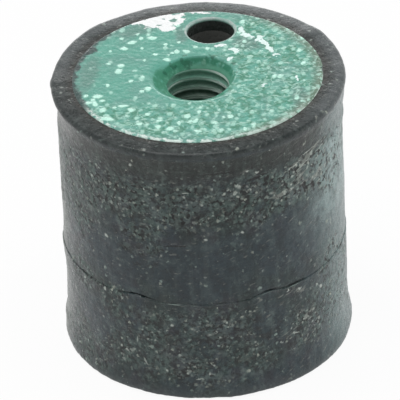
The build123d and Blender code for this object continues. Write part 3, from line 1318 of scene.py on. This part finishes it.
    def build(self) -> Piece:
        """Model the rubber body.

        Returns:
            The finished piece.
        """
        piece = turn_section("rubber_body_moulded", self.section(), self.segments)
        floor, wall = self.height - self.hole_depth, self.hole_radius
        hole = [Corner(0, floor), Corner(wall, floor), Corner(wall, self.height), Corner(0, self.height)]
        cut(piece, turn_section("locating_hole_tool", hole, self.hole_segments, (0, self.hole_offset)))
        self.weather(piece)
        finish_piece(piece, ["rubber_body"], self.material)
        return piece

    def weather(self, piece: Piece) -> None:
        """Press the mould's unevenness and the rubber's grain into the outside.

        Args:
            piece: the turned body.
        """
        at = places_of(piece)
        radius = np.hypot(at[:, 0], at[:, 1])
        outside = smooth_step(radius, *self.side_from)
        turn = np.arctan2(at[:, 1], at[:, 0])
        above = at[:, 2] - self.ledge_height
        near_joint = np.exp(-((above / self.joint_reach) ** 2)) * outside
        crack = np.exp(-(((above - self.crack_height) / self.crack_width) ** 2)) * outside
        lip = np.exp(-(((above - self.lip_height) / self.crack_width) ** 2)) * outside
        opened, pale, rise = (
            np.full(len(at), least) for least in (self.least_opened, self.least_pale, self.least_rise)
        )
        for wear in self.joint_gap_and_lip:
            away = np.degrees(np.angle(np.exp(1j * (turn - math.radians(wear.angle)))))
            share = np.exp(-((away / wear.spread) ** 2))
            opened += wear.opened * share
            pale += wear.pale * share
            rise += wear.rise * share
        out, drawn = np.zeros(len(at)), np.zeros(len(at))
        for bulge in self.bulges:
            away = np.angle(np.exp(1j * (turn - math.radians(bulge.angle)))) * self.rim_radius
            place = np.exp(-((away / bulge.length) ** 2) - ((at[:, 2] - bulge.height) / bulge.width) ** 2)
            place *= smooth_step(radius, *self.bulge_from) * abs(bulge.out)
            if bulge.out > 0:
                out += place
            else:
                drawn += place
        out += (
            self.rim_swell
            * smooth_step(radius, *self.swell_from)
            * smooth_step(at[:, 2], *self.swell_above)
        )
        press(piece, "bulges", out, 1.0)
        press(piece, "hollows", drawn, -1.0)
        # Kept for the material: painted shade in the joint's crack, and painted highlight on its lip
        joint = piece.data.attributes.new(JOINT_ATTRIBUTE, "FLOAT", "POINT")
        joint.data.foreach_set("value", crack * opened - lip * pale)
        press(piece, "joint_crack", crack * opened, -self.crack_depth)
        press(piece, "joint_lip", lip * opened, self.lip_rise)
        press(piece, "joint_rise", near_joint * rise, 1.0, Push.UP)
        press(piece, "soft_unevenness", outside, self.unevenness)
        on_side = outside * (1 - self.smoothness * smooth_step(at[:, 2], *self.smooth_above))
        press(piece, "lumps", outside, self.lumps)
        press(piece, "grain", on_side, self.grain)


@dataclass
class Fitting:
    """What the plate and the bush of an end share. Both are drawn for the top end."""

    material: bpy.types.Material
    end: End
    height: float = 40.0
    plate_thickness: float = 2.0
    neck_radius: float = 6.5
    fine: float = 0.17
    worn_side: float = -115.0
    worn_below: float = 1.5
    worn_drop: float = 0.85
    worn_spread: Limits = (-0.3, 0.85)
    worn_radii: Limits = (5.1, 6.9)
    paint_depths: Limits = (0.25, 0.02)
    paint: Relief = Relief(0.75, 0.06, 1)

    def settle(self, piece: Piece, node: str, slot: str) -> Piece:
        """Press in the thread's worn mouth and the paint's lumps, seat the piece at its end and dress it.

        Args:
            piece: the plate or bush, drawn for the top end.
            node: what its CAD node is called behind the end's name.
            slot: not used.

        Returns:
            The finished piece.
        """
        at = places_of(piece)
        radius = np.hypot(at[:, 0], at[:, 1])
        sink_end = self.height - self.worn_below
        towards = np.cos(np.arctan2(at[:, 1], at[:, 0]) - math.radians(self.worn_side))
        worn = smooth_step(towards, *self.worn_spread) * (1 - smooth_step(radius, *self.worn_radii))
        worn *= np.clip((at[:, 2] - sink_end) / (self.height - sink_end), 0, 1)
        press(piece, "worn_mouth", worn, -self.worn_drop, Push.UP)
        painted = smooth_step(at[:, 2], *(self.height - depth for depth in self.paint_depths))
        press(piece, "paint_lumps", painted, self.paint, Push.UP)
        if self.end is End.BOTTOM:
            lifted = Matrix.Translation((0, 0, self.height * MM))
            piece.data.transform(lifted @ Matrix.Rotation(math.pi, 4, "Y"))
        finish_piece(piece, [f"{self.end.value}_{node}"], self.material)
        return piece


@dataclass
class EndPlate(Fitting):
    """A round steel plate with the paint's lumps on its outer face."""

    radius: float = 17.1
    chamfer: float = 0.3
    hole_radius: float = 3.25
    hole_offset: float = 11.9
    hole_lip: float = 0.35
    hole_segments: int = 96
    segments: int = 640

    def section(self) -> list[Corner]:
        """The plate's half section for the top end, a closed ring that starts at the neck.

        Returns:
            The corners, ending where they began.
        """
        top, seat, edge = self.height, self.height - self.plate_thickness, self.radius
        rounded = arc((edge - self.chamfer, top - self.chamfer), self.chamfer, 90, 0, 4)
        return [
            Corner(self.neck_radius, top),
            Corner(edge - self.chamfer, top, self.fine),
            *rounded[1:],
            Corner(edge, seat + self.chamfer),
            Corner(edge - self.chamfer, seat),
            Corner(self.neck_radius, seat),
            Corner(self.neck_radius, top),
        ]

    def hole_tool(self) -> Piece:
        """The tool that cuts the locating hole, with a rounded lip.

        Returns:
            The closed tool.
        """
        top, wall, lip = self.height, self.hole_radius, self.hole_lip
        below, above = top - self.plate_thickness - PAST, top + PAST
        mouth = arc((wall + lip, top - lip), lip, 180, 95, 6)
        corners = [
            Corner(0, below),
            Corner(wall, below),
            *mouth,
            Corner(wall + lip, above),
            Corner(0, above),
        ]
        return turn_section("plate_hole_tool", corners, self.hole_segments, (0, self.hole_offset))

    def build(self) -> Piece:
        """Model the plate.

        Returns:
            The finished piece.
        """
        piece = turn_section(f"{self.end.value}_plate_painted", self.section(), self.segments)
        if self.end is End.TOP:
            cut(piece, self.hole_tool())
        return self.settle(piece, "plate", "painted_plate")


@dataclass
class ThreadedBush(Fitting):
    """A turned bush with a countersunk blind hole and a cut right-hand thread."""

    body_radius: float = 7.5
    length: float = 14.05
    end_chamfer: float = 0.8
    minor_radius: float = 4.25
    major_radius: float = 5.0
    pitch: float = 1.5
    thread_depth: float = 10.0
    sink_radius: float = 5.15
    sink_depth: float = 1.56
    lip: float = 0.25
    first_crest: float = 1.7
    crest_turn: float = 90.0
    drill_point_angle: float = 118.0
    flank_angle: float = 30.0
    fade: Limits = (1.0, 2.3)
    fade_depth: float = 0.35
    runout: float = 0.4
    wall_step: float = 0.5
    lip_step: float = 0.15
    mouth_margin: float = 0.2
    tolerance: float = 0.0001
    segments: int = 192

    def blank(self) -> Piece:
        """Turn the bush before it is drilled.

        Returns:
            The closed blank.
        """
        top, wall, neck = self.height, self.body_radius, self.neck_radius
        low, seat = top - self.length, top - self.plate_thickness
        corners = [
            Corner(0, low),
            Corner(wall - self.end_chamfer, low),
            Corner(wall, low + self.end_chamfer),
            Corner(wall, seat),
            Corner(neck, seat),
            Corner(neck, top),
            Corner(0, top, self.fine),
        ]
        return turn_section(f"{self.end.value}_bush_threaded", corners, self.segments)

    def drill(self) -> Piece:
        """The tool that drills the tapping hole and sinks its mouth with a rounded lip.

        Returns:
            The closed tool.
        """
        top, minor = self.height, self.minor_radius
        tip = top - self.thread_depth - minor / math.tan(math.radians(self.drill_point_angle / 2))
        lean = math.atan2(self.sink_radius - minor, self.sink_depth)
        reach = self.lip * (1 - math.sin(lean)) / math.cos(lean)
        lip = arc((self.sink_radius + reach, top - self.lip), self.lip, 180 - math.degrees(lean), 88, 5)
        corners = [
            Corner(0, tip),
            Corner(minor, top - self.thread_depth, self.wall_step),
            Corner(minor, top - self.sink_depth, self.wall_step),
            *[Corner(c.radius, c.height, self.lip_step) for c in lip],
            Corner(self.neck_radius - self.mouth_margin, top + PAST),
            Corner(0, top + PAST),
        ]
        return turn_section("drill_tool", corners, self.segments)

    def tap(self) -> Piece:
        """The tool that cuts the thread: a pitch of its section, screwed up the axis with closed ends.

        Returns:
            The closed tool.
        """
        root_flat = self.pitch / 8
        flank = (self.major_radius - self.minor_radius) * math.tan(math.radians(self.flank_angle))
        crest_flat = self.pitch - root_flat - 2 * flank
        turns = math.ceil(self.thread_depth / self.pitch) + 3
        first = self.height - self.first_crest - crest_flat / 2 - (turns - 2) * self.pitch
        first -= self.pitch * self.crest_turn / 360
        corners = [
            Corner(self.minor_radius, first),
            Corner(self.minor_radius, first + crest_flat),
            Corner(self.major_radius, first + (crest_flat + flank)),
            Corner(self.major_radius, first + (crest_flat + flank + root_flat)),
            Corner(self.minor_radius, first + self.pitch),
        ]
        piece = draw_section("tap_tool", corners)
        sweep(piece, self.segments // 2, self.pitch, turns)
        bpy.ops.object.mode_set(mode="EDIT")
        bpy.ops.mesh.select_all(action="SELECT")
        bpy.ops.mesh.remove_doubles(threshold=2 * WELD)
        floor = self.height - self.thread_depth + self.runout
        for level, below in ((floor, True), (self.height + PAST / 2, False)):
            bpy.ops.mesh.select_all(action="SELECT")
            bpy.ops.mesh.bisect(
                plane_co=(0, 0, level * MM),
                plane_no=(0, 0, 1),
                use_fill=True,
                clear_inner=below,
                clear_outer=not below,
                threshold=self.tolerance * MM,
            )
        bpy.ops.mesh.select_all(action="SELECT")
        bpy.ops.mesh.normals_make_consistent(inside=False)
        bpy.ops.object.mode_set(mode="OBJECT")
        self.fade_start(piece)
        return piece

    def fade_start(self, tap: Piece) -> None:
        """Draw the tap in where it starts, so that the first groove grows out of the countersink.

        Args:
            tap: the tool that cuts the thread.
        """
        depth = self.height - places_of(tap)[:, 2]
        started = smooth_step(depth, *self.fade)
        modifier = add_modifier(tap, "CAST")
        modifier.cast_type = "CYLINDER"
        modifier.use_z = False
        modifier.factor = 1.0
        modifier.use_radius_as_size = False
        modifier.size = (self.minor_radius - self.fade_depth) * MM
        modifier.vertex_group = weigh(tap, "start", 1.0 - started)
        bpy.ops.object.modifier_apply(modifier=modifier.name)

    def build(self) -> Piece:
        """Model the bush.

        Returns:
            The finished piece.
        """
        piece = self.blank()
        cut(piece, self.drill())
        cut(piece, self.tap())
        return self.settle(piece, "threaded_bush", "painted_bush")


@dataclass(frozen=True)
class Lamp:
    """A soft square lamp: name, place and side in millimetres, watts, and whether gloss shows it."""

    name: str
    place: tuple[float, float, float]
    size: float
    power: float
    mirrored: bool = True


@dataclass
class Studio:
    """The floor, the soft light and the camera."""

    floor_size: float = 2400.0
    camera_distance: float = 700.0
    elevation: float = 32.71
    azimuth: float = 10.1
    roll: float = 2.79
    focal_pixels: float = 5079.0
    image_pixels: float = 400.0
    aim_height: float = 19.98
    aim_right: float = -3.6
    aim_up: float = 0.96
    sensor: float = 36.0
    world_light: float = 0.42
    white_up_to: float = 0.3
    grey_from: float = 0.92
    zenith: float = 0.3
    clip: Limits = (0.01, 10.0)
    lamps: tuple[Lamp, ...] = (
        Lamp("overhead_light", (-60, -40, 420), 360, 0.9),
        Lamp("left_light", (-420, 160, 180), 300, 0.8, mirrored=False),
        Lamp("right_light", (440, 110, 170), 300, 1.0, mirrored=False),
        Lamp("back_light", (-90, 560, 110), 260, 0.4),
    )

    def floor(self) -> None:
        """Lay a wide plain floor under the mount."""
        deselect_all()
        bpy.ops.mesh.primitive_plane_add(size=self.floor_size * MM, location=(0, 0, 0))
        floor = bpy.context.active_object
        floor.name = "studio_floor"
        floor.data.materials.append(FloorFinish().make())

    def world(self) -> None:
        """Light everything softly from all round, with a white background that greys towards the zenith."""
        world = bpy.data.worlds.new("studio_world")
        bpy.context.scene.world = world
        world.use_nodes = True
        nodes = Nodes(world.node_tree)
        output = nodes.node("ShaderNodeOutputWorld")
        direction = nodes.node("ShaderNodeTexCoord").outputs["Generated"]
        upwards = nodes.node("ShaderNodeSeparateXYZ", {0: direction}).outputs[2]
        graded = nodes.band(upwards, self.white_up_to, self.grey_from, 1.0, self.zenith)
        path = nodes.node("ShaderNodeLightPath").outputs
        mirrored = nodes.most(path["Is Glossy Ray"], path["Is Transmission Ray"])
        shader = nodes.node("ShaderNodeBackground", {"Strength": self.world_light}).outputs[0]
        for chooser, strength in ((mirrored, graded), (path["Is Camera Ray"], 1.0)):
            other = nodes.node("ShaderNodeBackground", {"Strength": strength}).outputs[0]
            shader = nodes.node("ShaderNodeMixShader", {0: chooser, 1: shader, 2: other}).outputs[0]
        nodes.feed(output.inputs[0], shader)

    def hang(self, lamp: Lamp) -> None:
        """Hang a lamp that points at the mount's middle.

        Args:
            lamp: the lamp.
        """
        deselect_all()
        bpy.ops.object.light_add(type="AREA", location=Vector(lamp.place) * MM)
        light = bpy.context.active_object
        light.name = lamp.name
        light.data.energy = lamp.power
        light.data.size = lamp.size * MM
        light.visible_glossy = lamp.mirrored
        towards = Vector((0, 0, self.aim_height)) - Vector(lamp.place)
        light.rotation_euler = towards.to_track_quat("-Z", "Y").to_euler()

    def camera(self) -> None:
        """Place the camera at the photograph's angle."""
        azimuth, elevation = math.radians(self.azimuth), math.radians(self.elevation)
        outwards = math.cos(elevation)
        back = Vector((math.sin(azimuth) * outwards, -math.cos(azimuth) * outwards, math.sin(elevation)))
        middle = Vector((0, 0, self.aim_height))
        eye = middle + back * self.camera_distance
        turned = (-back).to_track_quat("-Z", "Y").to_matrix()
        turned = turned @ Matrix.Rotation(math.radians(-self.roll), 3, "Z")
        bpy.ops.object.camera_add(location=eye * MM)
        camera = bpy.context.active_object
        camera.name = "photo_camera"
        camera.rotation_euler = turned.to_euler()
        camera.data.sensor_width = self.sensor
        camera.data.lens = self.focal_pixels / self.image_pixels * self.sensor
        camera.data.shift_x = self.aim_right / self.image_pixels
        camera.data.shift_y = -self.aim_up / self.image_pixels
        camera.data.clip_start, camera.data.clip_end = self.clip
        bpy.context.scene.camera = camera

    def build(self) -> None:
        """Set up the floor, the light and the camera."""
        self.floor()
        self.world()
        for lamp in self.lamps:
            self.hang(lamp)
        self.camera()
        bpy.context.scene.view_settings.view_transform = "Standard"
        log.info("studio: floor, light and camera are in place")


def main() -> None:
    """Build the mount's pieces in order, then the studio round them."""
    logging.basicConfig(level=logging.INFO, format="%(message)s")
    Studio().build()
    rubber = RubberFinish().make()
    paint = PaintFinish().make()
    RubberBody(rubber).build()
    for end in End:
        EndPlate(paint, end).build()
        ThreadedBush(paint, end).build()


if __name__ == "__main__":
    main()
